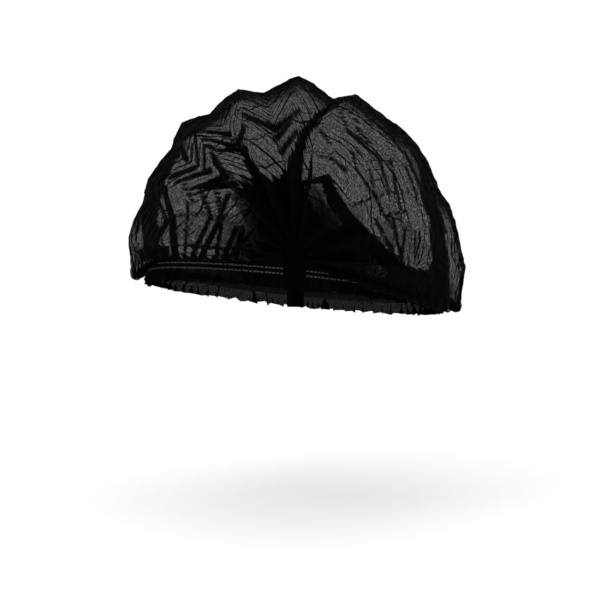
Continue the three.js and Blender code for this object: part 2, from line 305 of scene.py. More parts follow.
# %% [markdown]
# The crinkles are the folds left by the pleating machine: fine tucks across every pleat, 6 mm
# apart in front and 11 mm at the back. Each is laid as a small Z-fold, where the cloth goes
# forward, back and forward again. Three layers of a sheer cloth lie over each other there, so the
# line looks dark without any paint. Eight rows of points make one crinkle.

# %% Rows along the cap
FIRST_ANGLE = 1.3  # where the cloth begins at the welded ends
PROFILE_POINTS = 2001
CRINKLES = 44
FRONT_CRINKLES = 28
FRONT_SHARE = 0.47  # the share of the cap's length that the front crinkles lie in
FOLD = [  # share of the way to the next crinkle when flat, the same when folded, height (mm)
    (0.00, 0.00, 0.0),
    (0.16, 0.17, 0.22),
    (0.32, 0.36, 0.36),
    (0.48, 0.55, 0.38),
    (0.62, 0.73, 0.34),
    (0.76, 0.93, 0.62),
    (0.84, 0.71, 0.06),
    (0.92, 0.86, -0.08),
]


def step_lengths(points, axis=0):
    """The distance from each point to the next one."""
    return np.linalg.norm(np.diff(points, axis=axis), axis=-1)


def lengths_along(path):
    """How far along the path each of its points lies."""
    return np.concatenate([[0], np.cumsum(step_lengths(path))])


profile_angles = np.linspace(FIRST_ANGLE, 180 - FIRST_ANGLE, PROFILE_POINTS)
profile_lengths = lengths_along(dome_point(profile_angles, np.full(PROFILE_POINTS, 90.0)))
CROWN_LENGTH = profile_lengths[-1]


def crinkle_length(crinkle):
    """How far along the cap a crinkle lies, in mm."""
    known = [0, FRONT_SHARE * CROWN_LENGTH, CROWN_LENGTH]
    return np.interp(crinkle, [0, FRONT_CRINKLES, CRINKLES], known)


print("over the top:", round(CROWN_LENGTH), "mm, first crinkles at", crinkle_length([1, 2, 3]).round(1))

# %% [markdown]
# Columns run across the cloth. Every crease gets a column of its own, so that its edge is sharp,
# and the space between two creases gets columns in keeping with its width.

# %% Columns across the cloth
CROWN_COLUMNS = 236  # about as many as there will be
LEAST_COLUMNS = 4  # between two creases


def make_columns():
    """For each column: the crease on its left, and the share of the way to the next one."""
    columns = []
    for k in range(len(CREASES) - 1):
        width = CREASES[k + 1].places[TOP] - CREASES[k].places[TOP]
        count = max(LEAST_COLUMNS, round(CROWN_COLUMNS * width / 100))
        columns += [(k, i / count) for i in range(count)]
    return columns + [(len(CREASES) - 2, 1.0)]


columns = make_columns()
print(len(columns), "columns across the crown")

# %% [markdown]
# Along each elastic the cloth is gathered: it is cut longer than the elastic, so it stands in
# ruffles. The same wave runs through the frill below the stitches and the tucks above them,
# because it is the same cloth.

# %% Gathers
RUFFLES_PER_SIDE = 37
RUFFLE_WANDER = 1.1  # how early or late a ruffle may be, in radians
GATHER_DEPTH = 1.7  # above the stitches, in mm
GATHER_REACH = 9  # how far up the crown they are deepest
FRILL_HEIGHT = 10.5
FRILL_AMPLITUDE = 2.6
FRILL_UNEVEN = 0.35
FRILL_AT_ELASTIC = 0.16  # how deep the ruffles are at the elastic, as a share of their full depth
FRILL_OPENS = 0.3, 1.0  # they reach their full depth between these shares of the way down
FRILL_FLARE = 0.5
FRILL_LEAN = 1.5  # how far the free edge leans over, along the rim
SMALL_RUFFLES = 0.3, 2.1  # their share of the depth, and how many there are to one ruffle
RAGGED_EDGE = 0.08, 0.05  # slow and quick changes of the frill's height, as shares of it
RIM_STEP = 0.5  # degrees over which the rim's direction is measured
FRILL_STEPS = [0.1, 0.24, 0.38, 0.5, 0.62, 0.74, 0.86, 1.0]  # rows of points, down from the elastic


def gather_phase(angle, side):
    """How many ruffles lie before each angle, in radians."""
    share = (angle - FIRST_ANGLE) / (180 - 2 * FIRST_ANGLE)
    return 2 * math.pi * RUFFLES_PER_SIDE * share + RUFFLE_WANDER * waver(angle * 0.25, side * 2.0, 4)


def frill_point(angle, side, share):
    """A point of the frill, share of the way down from the elastic to its free edge."""
    phase = gather_phase(angle, side)
    depth = FRILL_AMPLITUDE * (1 + FRILL_UNEVEN * waver(angle * 0.6, side * 3.0, 9))
    open_out = ease(share, *FRILL_OPENS)
    opened = FRILL_AT_ELASTIC + (1 - FRILL_AT_ELASTIC) * open_out
    wave = (np.sin(phase) + SMALL_RUFFLES[0] * np.sin(SMALL_RUFFLES[1] * phase + side)) * depth * opened
    slow, quick = RAGGED_EDGE
    ragged = 1 + slow * waver(angle * 1.1, side * 5.0, 2) + quick * np.sin(phase * 1.7)
    offset = HEM_START["offset"] + wave + FRILL_FLARE * open_out
    point = rim_point(angle, side, offset, FRILL_HEIGHT * share * (1 + (ragged - 1) * open_out))
    along = unit(rim_point(angle + RIM_STEP, side) - rim_point(angle - RIM_STEP, side))
    return point + along * (FRILL_LEAN * open_out * np.sin(2 * phase))[..., None]


print("ruffles:", 2 * RUFFLES_PER_SIDE)

# %% [markdown]
# The cloth is as wide at the welded ends as over the top, but has far less room there, so its
# pleats stand deeper and deeper. The depth follows from the cloth that must fit between creases.
# Right at the welds the pleats are pressed flat.

# %% Pleat depth
CLOTH_WIDTH = math.pi * CROWN_HALF_WIDTH  # over the top, from side to side
CLOTH_KEPT = 0.79  # share of that width that the pleats hold all along the cap
STEEPEST_PLEAT = 1.7  # rise for each mm of half width
PRESSED_UNTIL = 1.5, 13  # degrees from the ends between which the pleats rise


def crease_rise(k, angle):
    """How far crease k stands off the smooth cloth at each angle."""
    if k in (0, len(CREASES) - 1):
        return 0 * angle
    before, after = CREASES[k - 1].places, CREASES[k + 1].places
    gap = (blend(after, angle) - blend(before, angle)) / 2
    width = swell(angle) * CLOTH_WIDTH * gap / 100
    most = STEEPEST_PLEAT * width / 2
    drawn = np.clip(blend(CREASES[k].rises, angle), -most, most)
    kept = CLOTH_KEPT * CLOTH_WIDTH * (after[TOP] - before[TOP]) / 2 / 100
    spare = np.sqrt(np.maximum(kept**2 - width**2, 0)) / 2
    standing = ease(np.minimum(angle, 180 - angle), *PRESSED_UNTIL)
    return drawn + FOLDS_TO[k] * spare * standing


print("a pleat near the end, in mm:", crease_rise(10, np.array([8.0, 20, 40, 90])).round(1))

# %% [markdown]
# The crinkles aren't equally strong everywhere. On the left they are pressed hard, so that they
# show as dark bars. On the right the cloth is pulled nearly flat, and only thin lines are left.
# Each row of this table is an area of the cloth. Where no area applies, the first two values hold.

# %% Strength of the crinkles
CRINKLE_MEAN, CRINKLE_SPREAD = 0.5, 0.5
CRINKLE_AREAS = [
    # name, across from, to (percent, over the top), angle from, to, mean, spread
    ("herringbone", 27, 53, 14, 96, 0.7, 0.8),
    ("brow_panel", 5, 21, 8, 75, 0.15, 0.2),
    ("left_side", -5, 21, 66, 190, 0.25, 0.25),
    ("smooth_right", 56, 86, 12, 100, 0.45, 0.35),
    ("right_side", 84, 105, 66, 190, 0.25, 0.25),
    ("right_low", 87, 97, 8, 100, 0.7, 0.6),
    ("back", -5, 105, 100, 190, 0.5, 0.5),
]
AREA_EDGE = 2.5  # how soft the areas end, in percent
AREA_END = 4  # and in degrees
STRONGEST_CRINKLE = 1.6
FADING_CRINKLES = 4  # they grow from nothing over so many, at both ends of the cap


def within(value, low, high, edge):
    """1 between low and high, 0 outside, with soft edges."""
    return ease(value, low - edge, low + edge) * ease(-value, -high - edge, -high + edge)


def crinkle_strength(place, crinkle):
    centre = np.interp(crinkle_length(crinkle + 0.5), profile_lengths, profile_angles)
    mean, spread = CRINKLE_MEAN + 0 * centre, CRINKLE_SPREAD + 0 * centre
    for _, left, right, front, back, area_mean, area_spread in CRINKLE_AREAS:
        inside = within(place, left, right, AREA_EDGE) * within(centre, front, back, AREA_END)
        mean = mean + (area_mean - mean) * inside
        spread = spread + (area_spread - spread) * inside
    strength = mean + spread * waver(crinkle * 1.9, place * 0.16)
    grown = ease(crinkle, 0, FADING_CRINKLES) * ease(CRINKLES - crinkle, 0, FADING_CRINKLES)
    return np.clip(strength, 0, STRONGEST_CRINKLE) * grown


for name, place in (("left", 40), ("right", 70)):
    strength = crinkle_strength(place, np.array(FRONT_CRINKLES // 2))
    print("strength in front, at the", name, "of the top:", round(float(strength), 2))

# %% [markdown]
# Now the cloth is laid out, column by column. The rows are first placed along the cap, with their
# crinkles and their sweep, then turned into angles. The height of a point is the sum of its pleat
# and its crinkle. Towards the welded ends the pleats crowd, so they lean over each other.

# %% Lay out the crown
PACKED_LEAN = 4.0  # extra lean of every pleat where they crowd towards the welded ends
LEAN_AT_TOP = 0.35  # share of a crease's lean that it has over the top
PLEATED_FROM = 8, 14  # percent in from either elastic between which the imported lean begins
CALM_ENDS = 9  # crinkles at each end over which sweep, wander and height grow
CRINKLE_WANDER = 1.6
LEAST_CRINKLE = 0.1  # share of its height that the weakest crinkle keeps
ROW_CRINKLES = np.append(np.repeat(np.arange(CRINKLES), len(FOLD)), CRINKLES)
ROW_STEPS = np.append(np.tile(np.arange(len(FOLD)), CRINKLES), 0)


def lay_out_crown():
    """For each point, by rows and columns: its angle, its share across, its rise and its lean."""
    flat_step, folded_step, height = np.array(FOLD)[ROW_STEPS].T
    angles, acrosses, rises, leans = [], [], [], []
    for k, share in columns:
        left, right = CREASES[k], CREASES[k + 1]
        place = left.places[TOP] + (right.places[TOP] - left.places[TOP]) * share
        strength = crinkle_strength(place, ROW_CRINKLES)
        row = ROW_CRINKLES + flat_step + (folded_step - flat_step) * strength
        sweep = left.sweep + (right.sweep - left.sweep) * share
        ends = ease(row, 0, CALM_ENDS) * ease(CRINKLES - row, 0, CALM_ENDS)
        wander = CRINKLE_WANDER * waver(ROW_CRINKLES * 0.9, place * 0.22, 3)
        length = crinkle_length(row) + (sweep + wander) * ends
        angle = np.interp(length, profile_lengths, profile_angles)
        rise = crease_rise(k, angle) * (1 - share) + crease_rise(k + 1, angle) * share
        rise = rise + height * (LEAST_CRINKLE + (1 - LEAST_CRINKLE) * strength) * ends
        crowding = (1 - swell(angle)) * ends
        packed = -PACKED_LEAN * crowding * (FOLDS_TO[k] * (1 - share) + FOLDS_TO[k + 1] * share)
        pleated = ease(place, *PLEATED_FROM) * ease(100 - place, *PLEATED_FROM)
        drawn = left.lean + (right.lean - left.lean) * share
        lean = drawn * (LEAN_AT_TOP + crowding) * ends + packed * pleated
        at_left, at_right = blend(left.places, angle), blend(right.places, angle)
        angles.append(angle)
        acrosses.append((at_left + (at_right - at_left) * share) / 100)
        rises.append(rise)
        leans.append(lean)
    return [np.stack(values, 1) for values in (angles, acrosses, rises, leans)]


angle, across, rise, lean = lay_out_crown()
print("highest pleat:", round(float(rise.max()), 1), "mm")

# %% [markdown]
# The crown's points are the smooth cloth's points, moved out by the rise and sideways by the
# lean. The gathers near the hem are added here, and three wavers of different lengths that make
# the cloth look crumpled, because they depend on the place on the cap.

# %% Place the crown's points
HEM_TO_HEM = 350  # about how far it is across the smooth cloth, in mm
CRUMPLES = [  # height (mm), how fast it wavers along and across, seed
    (1.1, 0.21, 30, 5),
    (0.5, 0.6, 75, 7),
    (0.4, 1.3, 150, 11),
]
CRUMPLED_FROM = {"hem": (4, 30), "ends": (3, 30)}  # mm and degrees between which the crumples grow
LEANING_FROM = 12, 40  # mm from the hem between which the pleats begin to lean


def hem_distance():
    """About how far each point of the crown is from the nearer elastic, in mm."""
    return np.minimum(across, 1 - across) * HEM_TO_HEM


def place_crown():
    point, out, sideways = cloth_frame(angle, across)
    inward = hem_distance()
    side = np.where(across < 0.5, -1, 1)
    window = inward / GATHER_REACH * np.exp(1 - inward / GATHER_REACH)
    gathers = GATHER_DEPTH * window * np.sin(gather_phase(angle, side)) * swell(angle)
    crumple = sum(high * waver(angle * u, across * v, seed) for high, u, v, seed in CRUMPLES)
    crumple = crumple * ease(inward, *CRUMPLED_FROM["hem"])
    crumple = crumple * ease(np.minimum(angle, 180 - angle), *CRUMPLED_FROM["ends"])
    point = point + out * (rise + gathers + crumple)[..., None]
    return point + sideways * (lean * ease(inward, *LEANING_FROM))[..., None]


crown_points = place_crown()
print("crown box in mm:", crown_points.min((0, 1)).round(), crown_points.max((0, 1)).round())

# %% [markdown]
# Where the pleats never opened they lie stacked, many layers deep, and look solid black. Each row
# of this table is such a bunch on the front of the cap, as the camera sees it: a line from one
# point to another, with its half width at both and the number of extra layers. Two rows,
# left_shade and right_shade, are painted shade instead: a fraction of a layer that darkens a panel.
# They are all painted into an attribute that the cloth's material reads as a number of layers.
# In a ragged bunch, all of one crinkle takes the value of its own middle row, so the bunch ends at
# folds, in bars.

# %% Stacked pleats
BUNCHES = [
    # name, from and to (mm as seen), half width at both, extra layers, raggedness
    ("tuck_top", (27.5, 101.4), (13.1, 90.7), (1.2, 1.6), 5, 0),
    ("tuck_middle", (13.1, 90.7), (4.7, 79.5), (1.6, 2.1), 6, 0),
    ("tuck_low", (4.7, 79.5), (0.5, 64.6), (2.1, 3.3), 6, 0.4),
    ("stack_top", (0.5, 66.9), (-3.3, 48.2), (3.3, 6.5), 7, 0.7),
    ("stack_middle", (-3.3, 48.2), (-3.3, 29.6), (7.9, 10.7), 8, 0.7),
    ("stack_low", (-1.1, 33.8), (0, -0.8), (14, 14), 9, 0.4),
    ("patch_top", (4.2, 52.4), (18.2, 55.7), (1.2, 1.6), 5, 0),
    ("patch", (9.8, 45.9), (13.1, 30.7), (5.1, 5.1), 1.1, 0),
    ("patch_low", (17.7, 35.4), (26.1, 22.6), (3.3, 4.2), 1.3, 0),
    ("fold_top", (17.7, 55.7), (22.4, 42.4), (2.1, 3.5), 7, 0),
    ("fold_upper", (22.4, 42.4), (32.2, 29.6), (3.7, 3.7), 7, 0),
    ("fold_middle", (32.2, 29.6), (45.7, 16), (4, 4), 7, 0),
    ("fold_low", (45.7, 16), (59.7, 1.6), (3.7, 5.1), 7, 0),
    ("right_rim_1", (71.9, 59.9), (79.3, 31.9), (1.9, 3.3), 4, 0.2),
    ("right_rim_2", (79.8, 31.9), (82.1, -7.8), (3.7, 4.7), 6, 0.2),
    ("right_bulk", (13.1, 23.3), (37, 17.2), (5.5, 5.5), 4, 0),
    ("right_bulk_low", (13, 12.2), (21.7, -3), (8, 8), 8, 0),
    ("right_dim", (28.1, 10.4), (47, 1), (10, 10), 2.5, 0),
    ("right_hem", (21.7, -8.5), (78.3, -13.5), (7, 7), 8, 0),
    ("right_corner", (59.2, -1.8), (76.3, -4.5), (8, 8), 8, 0),
    ("root_top", (-29.5, 73.6), (-24.5, 62.4), (1, 2.5), 6, 1),
    ("root_low", (-24.1, 62.4), (-15.1, 50.1), (2, 2.7), 7, 1),
    ("left_mass_top", (-34.2, 51), (-8.4, 50.1), (2.2, 5.6), 7, 1),
    ("left_mass", (-21.3, 43.9), (-6.2, 36.7), (5.6, 6.7), 8, 1),
    ("left_mass_low", (-14, 33.3), (-1.7, 16.5), (5.6, 6.7), 8, 1),
    ("left_mass_foot", (-18.5, 23.2), (-8.4, 14.3), (3.4, 4.5), 2, 0),
    ("left_haze", (-33, 45.6), (-20.7, 32.2), (2.2, 5.8), 1.2, 0),
    ("left_rim_1", (-47.6, 88), (-63.8, 79.8), (2.2, 2.9), 5, 0),
    ("left_rim_2", (-65.3, 78.1), (-75, 57.9), (2.9, 3.4), 6, 0.3),
    ("left_rim_3", (-76.9, 55.7), (-81.8, 36.7), (3.8, 4.3), 7, 0.3),
    ("left_rim_4", (-81.8, 36.7), (-80.6, 16.5), (4.3, 3.8), 7, 0.3),
    ("left_corner", (-83.4, 13.7), (-73.4, 14.8), (3.8, 3.4), 8, 0),
    ("spike_1", (-50.1, 82.8), (-36.2, 80.3), (0.4, 1.2), 6, 0),
    ("spike_2", (-48.2, 77.9), (-34.4, 73.8), (0.5, 1.2), 6, 0),
    ("spike_3", (-43.7, 71.2), (-27.4, 71.9), (0.4, 1.3), 7.5, 0),
    ("spike_4", (-69.4, 56.6), (-54.3, 62.6), (1.1, 0.7), 6, 0),
    ("spike_5", (-66.6, 53.7), (-47.6, 60), (0.5, 1.3), 6, 0),
    ("spike_6", (-57.5, 50.1), (-38.6, 56.3), (0.6, 1.7), 7.5, 0),
    ("spike_7", (-53.2, 50.5), (-34.2, 52.3), (0.5, 2), 9, 0),
    ("spike_8", (-38.6, 59.1), (-20.7, 50.7), (0.7, 2.6), 7.5, 1),
    ("pleat_1", (-55.7, 81.2), (-54, 63), (0.5, 0.6), 3.75, 0),
    ("pleat_2", (-50.7, 78.3), (-50.5, 60.4), (0.5, 0.6), 3.75, 0),
    ("pleat_3", (-47.6, 74.7), (-45.1, 65.6), (0.6, 1), 4.5, 0),
    ("pleat_4", (-45.1, 65.6), (-39.3, 57.4), (1.1, 1.2), 6, 0),
    ("pleat_5", (-63.8, 73.6), (-60.4, 66.2), (1.1, 1.2), 7.5, 0),
    # left_shade is painted shade: a quarter of a layer that darkens the lower left panel.
    ("left_shade", (-67.8, 27.7), (-39.8, 25.5), (9, 10.1), 0.25, 0),
    ("panel_1", (-73.6, 51.4), (-68.9, 34.4), (1.2, 1.4), 7.5, 0),
    ("panel_2", (-68.7, 34.4), (-66.9, 12), (1.5, 1.7), 9, 0),
    ("panel_3", (-76.5, 44.3), (-72, 32.6), (0.6, 0.8), 4.5, 0),
    ("panel_4", (-70.9, 32.4), (-79.4, 17.6), (1.2, 1.4), 7.5, 0),
    ("panel_5", (-61.9, 52.6), (-57.2, 42.7), (0.5, 0.5), 3, 0),
    ("panel_6", (-59.7, 42.3), (-61.5, 12.6), (0.5, 0.6), 3.75, 0),
    ("panel_7", (-53, 49.9), (-46.3, 33.1), (0.6, 0.6), 4.5, 0),
    ("panel_8", (-47.4, 33.5), (-56.8, 13.1), (0.7, 1.1), 6, 0),
    ("panel_9", (-43.6, 49), (-40.7, 32.2), (0.6, 0.7), 4.5, 0),
    ("panel_10", (-36.8, 47.4), (-43.3, 29.9), (0.6, 1.1), 6, 0),
    ("panel_11", (-43.3, 29.9), (-52.5, 10.9), (1.3, 1.2), 7.5, 0),
    ("panel_12", (-41.1, 29.9), (-43.8, 12), (0.7, 1), 6, 0),
    ("panel_13", (-32.8, 27.5), (-39.8, 11.5), (1, 1.2), 6, 0),
    ("panel_14", (-29.1, 27.7), (-33, 11.5), (1.3, 1.4), 6, 0),
    ("panel_15", (-24.1, 25.5), (-36.4, 11.5), (0.6, 0.8), 4.5, 0),
    ("panel_16", (-13.8, 17.8), (-20.9, 9.6), (1.1, 1.2), 6, 0),
    ("panel_17", (-70, 34.4), (-53.2, 35.8), (0.5, 0.4), 2.25, 0),
    ("panel_18", (-53.2, 35.8), (-36.4, 34.4), (0.4, 0.5), 2.25, 0),
    ("bar_1", (-29.4, 92.4), (-10.4, 83.1), (0.7, 1.7), 4, 0),
    ("bar_2", (-10.4, 83.7), (3.1, 94.3), (1.5, 0.7), 4, 0),
    ("bar_6", (-31.9, 75), (-28, 85.4), (1.4, 0.7), 4, 0),
    ("bar_7", (-10.9, 77), (-2.2, 87.3), (1.3, 0.7), 4, 0),
    ("bar_8", (-7.3, 70.3), (1.4, 82), (1.4, 0.7), 4, 0),
    ("right_line_1", (24.5, 96.3), (29.7, 82.9), (0.4, 0.4), 3, 0),
    ("right_line_2", (29.7, 82.9), (47.3, 66.9), (0.6, 0.7), 4, 0),
    ("right_line_3", (47.3, 66.9), (52.6, 48.4), (0.6, 0.4), 3, 0),
    ("right_line_4", (34.7, 84.3), (42.8, 75.3), (0.4, 0.6), 3, 0),
    ("right_line_5", (29.1, 96.3), (35.3, 87.1), (0.4, 0.4), 3, 0),
    ("right_line_6", (37.5, 94.9), (43.7, 85.7), (0.4, 0.4), 3, 0),
    ("right_line_7", (32.5, 71.1), (34.3, 61.3), (0.4, 0.4), 3, 0),
    ("right_line_8", (34.4, 61.3), (44.1, 46.6), (0.4, 0.4), 3, 0),
    ("right_line_9", (42, 61), (44.5, 45.9), (0.4, 0.4), 3, 0),
    ("right_line_10", (44.5, 45.9), (54.9, 27.7), (0.4, 0.6), 3, 0),
    ("right_line_11", (53.8, 66.1), (56.8, 49.8), (0.5, 0.6), 3, 0),
    ("right_line_12", (56.8, 49.8), (59.6, 38.9), (0.5, 0.4), 3, 0),
    ("right_line_13", (49.8, 82.9), (62.4, 68.9), (0.4, 0.5), 3, 0),
    ("right_line_14", (62.4, 68.9), (70.6, 51.5), (0.5, 0.6), 4, 0),
    ("right_line_15", (70.6, 51.5), (74.5, 36.1), (0.6, 0.7), 4, 0),
    ("right_line_16", (62.2, 62.7), (67.8, 47.3), (0.4, 0.4), 3, 0),
    ("right_line_17", (54.9, 33.3), (60.8, 6.7), (0.6, 0.8), 4, 0),
    ("right_line_18", (61.9, 27.4), (59.6, 8.1), (0.6, 0.7), 4, 0),
    ("right_line_19", (67.5, 26.3), (67.2, 12.3), (0.4, 0.4), 3, 0),
    ("right_line_20", (45.1, 33.3), (58.8, 6.7), (0.7, 1.1), 4, 0),
    ("right_line_21", (32.8, 40.3), (44.8, 45.6), (0.4, 0.4), 2.5, 0),
    ("right_line_22", (44.8, 45.6), (60.2, 48.7), (0.4, 0.4), 2.5, 0),
    ("right_line_23", (52.1, 35.3), (63, 37.2), (0.4, 0.4), 2.5, 0),
    ("right_line_24", (14, 68), (22.1, 66.3), (0.4, 0.4), 3, 0),
    ("right_line_25", (22.1, 66.3), (28.8, 59.6), (0.4, 0.6), 3, 0),
    ("right_line_26", (14, 83.4), (19.9, 75.3), (0.4, 0.4), 3, 0),
    # right_shade is painted shade: a fraction of a layer that darkens the lower right panel.
    ("right_shade", (56, 27.7), (68.6, 13.7), (8.4, 8.4), 0.3, 0),
]
BUNCH_EDGE = 0.35  # how soft a narrow bunch ends, in mm
BUNCH_SOFTNESS = 0.15  # and a wide one, as a share of its half width
BUNCH_WAVER = 0.15  # how much its outline wavers
BUNCH_STRIPES = 0.35  # how much longer or shorter the bars of a ragged bunch are
FRONT_ONLY = -62, -30  # the bunches fade out between these y


def seen(points):
    """Across and up in mm, as the camera sees the points."""
    up = np.array([0, math.sin(CAMERA_ELEVATION), math.cos(CAMERA_ELEVATION)])
    away = np.array([0, math.cos(CAMERA_ELEVATION), -math.sin(CAMERA_ELEVATION)])
    nearness = CAMERA_DISTANCE / (CAMERA_DISTANCE + points @ away * MM)
    return np.stack([points[..., 0], points @ up], -1) * nearness[..., None]


def extra_layers(points):
    """The extra layers at each point of the crown."""
    middle_rows = np.minimum(ROW_CRINKLES * len(FOLD) + len(FOLD) // 2, len(points) - 1)
    own, middles = seen(points), seen(points[middle_rows])
    layers = np.zeros(own.shape[:-1])
    for k, (_, start, end, widths, most, raggedness) in enumerate(BUNCHES):
        flat = own + (middles - own) * raggedness
        along = np.array(end, float) - start
        share = np.clip((flat - start) @ along / (along @ along), 0, 1)
        away = np.linalg.norm(flat - start - share[..., None] * along, axis=-1)
        stripes = BUNCH_STRIPES * raggedness * waver(ROW_CRINKLES * 1.7, 3.0 * k)[:, None]
        width = widths[0] + (widths[1] - widths[0]) * share
        uneven = BUNCH_WAVER * waver(flat[..., 0] * 0.5, flat[..., 1] * 0.5, k)
        reach = width * (1 + stripes + uneven)
        edge = np.maximum(BUNCH_SOFTNESS * reach, BUNCH_EDGE)
        layers = np.maximum(layers, most * ease(-away, -reach - edge, -reach + edge))
    return layers * (1 - ease(points[..., 1], *FRONT_ONLY))


print(len(BUNCHES), "bunches of stacked pleats")

# %% [markdown]
# Other bunched places follow from the cap's form, not from a table: the gathered hem, the frill,
# the top of the outline, where the cloth turns from the front to the back, and the last stretch
# towards the welded end at the back.

# %% Layers in the other bunched places
HEM_LAYERS = 2.6  # each of these is added to the one layer that is there anyway
FRILL_LAYERS = 2.6
EDGE_LAYERS = 1.8
PACKED_LAYERS = 1.5
HEM_EDGE = 4, 9  # mm from the elastic between which the hem's layers end
HEM_WAVER = 2
EDGE_TURN = -0.36, -0.1  # how far the cloth faces the front or back where they begin and are full
EDGE_LEVEL = 28, 44  # the height above which they are, in mm
EDGE_STREAKS = 0.8
PACKED_FROM = 148, 166  # degrees
PACKED_STREAKS = 0.5
MOST_CROWDING = 6


def hem_layers():
    inward = hem_distance() + HEM_WAVER * waver(angle * 1.3, across * 9, 12)
    return HEM_LAYERS * (1 - ease(inward, *HEM_EDGE))


def edge_layers():
    """More layers along the top of the outline, where the cloth turns to the back."""
    _, out, _ = cloth_frame(angle, across)
    turned = ease(-np.abs(out[..., 1]), *EDGE_TURN) * ease(crown_points[..., 2], *EDGE_LEVEL)
    return EDGE_LAYERS * turned * (1 + EDGE_STREAKS * waver(angle * 0.12, across * 150, 8))


def packed_layers():
    """More layers towards the welded end at the back, where the cloth has ever less room."""
    crowding = np.minimum(1 / swell(angle) - 1, MOST_CROWDING)
    streaks = 1 + PACKED_STREAKS * waver(angle * 0.05, across * 70, 6)
    return PACKED_LAYERS * crowding * streaks * ease(angle, *PACKED_FROM)


crown_layers = 1 + hem_layers() + (extra_layers(crown_points) + edge_layers() + packed_layers())
print("layers, least and most:", crown_layers.min().round(1), crown_layers.max().round(1))

# %% [markdown]
# A grid of points becomes a mesh with one face between each four neighbours. It can carry values,
# such as the number of layers, and a UV map.

# %% A mesh from a grid


def grid_object(name, points, values=None, uv=None):
    """A mesh object from a grid of points in mm, rows by columns, facing out."""
    rows, cols = points.shape[:2]
    mesh = bpy.data.meshes.new(name)
    index = np.arange(rows * cols).reshape(rows, cols)
    faces = np.stack([index[:-1, :-1], index[:-1, 1:], index[1:, 1:], index[1:, :-1]], -1).reshape(-1, 4)
    mesh.vertices.add(rows * cols)
    mesh.vertices.foreach_set("co", (points * MM).astype(np.float32).ravel())
    mesh.loops.add(faces.size)
    mesh.loops.foreach_set("vertex_index", faces.ravel())
    mesh.polygons.add(len(faces))
    mesh.polygons.foreach_set("loop_start", np.arange(0, faces.size, 4))
    mesh.update(calc_edges=True)
    mesh.polygons.foreach_set("use_smooth", np.ones(len(faces), bool))
    for key, amounts in (values or {}).items():
        layer = mesh.attributes.new(key, "FLOAT", "POINT")
        layer.data.foreach_set("value", amounts.astype(np.float32).ravel())
    if uv is not None:
        layer = mesh.uv_layers.new(name="flat_cloth")
        layer.data.foreach_set("uv", uv.reshape(-1, 2)[faces.ravel()].astype(np.float32).ravel())
    mesh.validate()
    return new_object(name, mesh)


print("a grid of", crown_points.shape[0], "rows and", crown_points.shape[1], "columns for the crown")

# %% [markdown]
# The cloth is one piece from the left frill's free edge, over the crown, to the right frill's
# free edge, as the real cap is cut. The UV map holds the cloth's own flat coordinates in metres,
# so that a pattern in the material follows the folds.


def flat_coordinates(points):
    """Where each point lies on the flat cloth: lengths measured over all the folds, in metres."""
    u = np.concatenate([np.zeros((len(points), 1)), np.cumsum(step_lengths(points, 1), 1)], 1)
    v = np.concatenate([np.zeros((1, points.shape[1])), np.cumsum(step_lengths(points), 0)], 0)
    return np.stack([u - u[:, u.shape[1] // 2, None], v - v[len(v) // 2]], -1) * MM


def make_cloth():
    left = [frill_point(angle[:, 0], -1, share) for share in FRILL_STEPS[::-1]]
    right = [frill_point(angle[:, -1], 1, share) for share in FRILL_STEPS]
    points = np.concatenate([np.stack(left, 1), crown_points, np.stack(right, 1)], 1)
    layers = np.full(points.shape[:-1], 1 + FRILL_LAYERS)
    layers[:, len(left):-len(right)] = crown_layers
    return grid_object("cloth", points, {"layers": layers}, flat_coordinates(points))


cloth = make_cloth()
for name, axis in (("across", 1), ("along", 0)):
    lengths = step_lengths(crown_points, axis).sum(axis)
    print("crown", name, "over its folds, in mm:", np.percentile(lengths, (5, 50, 95)).round())
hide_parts("crown", "frill_left", "frill_right")
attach(cloth, "root")
print("cloth:", len(cloth.data.polygons), "faces")

# %% [markdown]
# The elastic is a flat band, 4 mm wide, inside the cloth. It is ribbed across, where its yarns
# are wrapped. Each band is a closed ring of points swept along the oval.

# %% The elastics
ELASTIC_WIDTH = 4
ELASTIC_THICK = 0.9
ELASTIC_OFFSET = -1.1  # inside the oval that the cloth follows
ELASTIC_ROWS = 420
RIB_HEIGHT = 0.12  # share of the thickness by which every second row stands out
HEM_FIRST_ANGLE = 3.9  # where the elastics and the stitches begin, next to the welded ends
BAND_SECTION = [  # out and down, as shares of the thickness and the width
    (-0.5, 0.08),
    (-0.5, 0.92),
    (-0.2, 1),
    (0.2, 1),
    (0.5, 0.92),
    (0.5, 0.08),
    (0.2, 0),
    (-0.2, 0),
]


def make_elastic(name, side):
    row = np.linspace(HEM_FIRST_ANGLE, 180 - HEM_FIRST_ANGLE, ELASTIC_ROWS)
    rib = 1 + RIB_HEIGHT * (np.arange(ELASTIC_ROWS) % 2)
    ring = []
    for out, down in BAND_SECTION + BAND_SECTION[:1]:
        offset = ELASTIC_OFFSET + out * ELASTIC_THICK * rib
        ring.append(rim_point(row, side, offset, down * ELASTIC_WIDTH))
    band = grid_object(name + "_band", np.stack(ring, 1))
    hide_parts(name)
    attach(band, "root")
    return band


elastics = [make_elastic("elastic_left", -1), make_elastic("elastic_right", 1)]
print("elastics:", [len(band.data.polygons) for band in elastics], "faces")

# %% [markdown]
# Two rows of stitches hold each elastic. One stitch is modelled with operators: a six-sided
# cylinder whose ends are inset and drawn out to blunt tips. It is then copied along both rows, on
# the outside of the gathered cloth, and all the copies of one side become one mesh.

# %% One stitch
STITCH_LENGTH = 1.5 * MM
STITCH_RADIUS = 0.2 * MM
STITCH_BODY = 0.7  # share of the length between the tips
STITCH_TIP = 0.15  # share of the length of each tip
STITCH_TAPER = 0.45  # share of the radius that a tip loses
FACING = 0.9  # a face looks along an axis where that part of its normal is above this


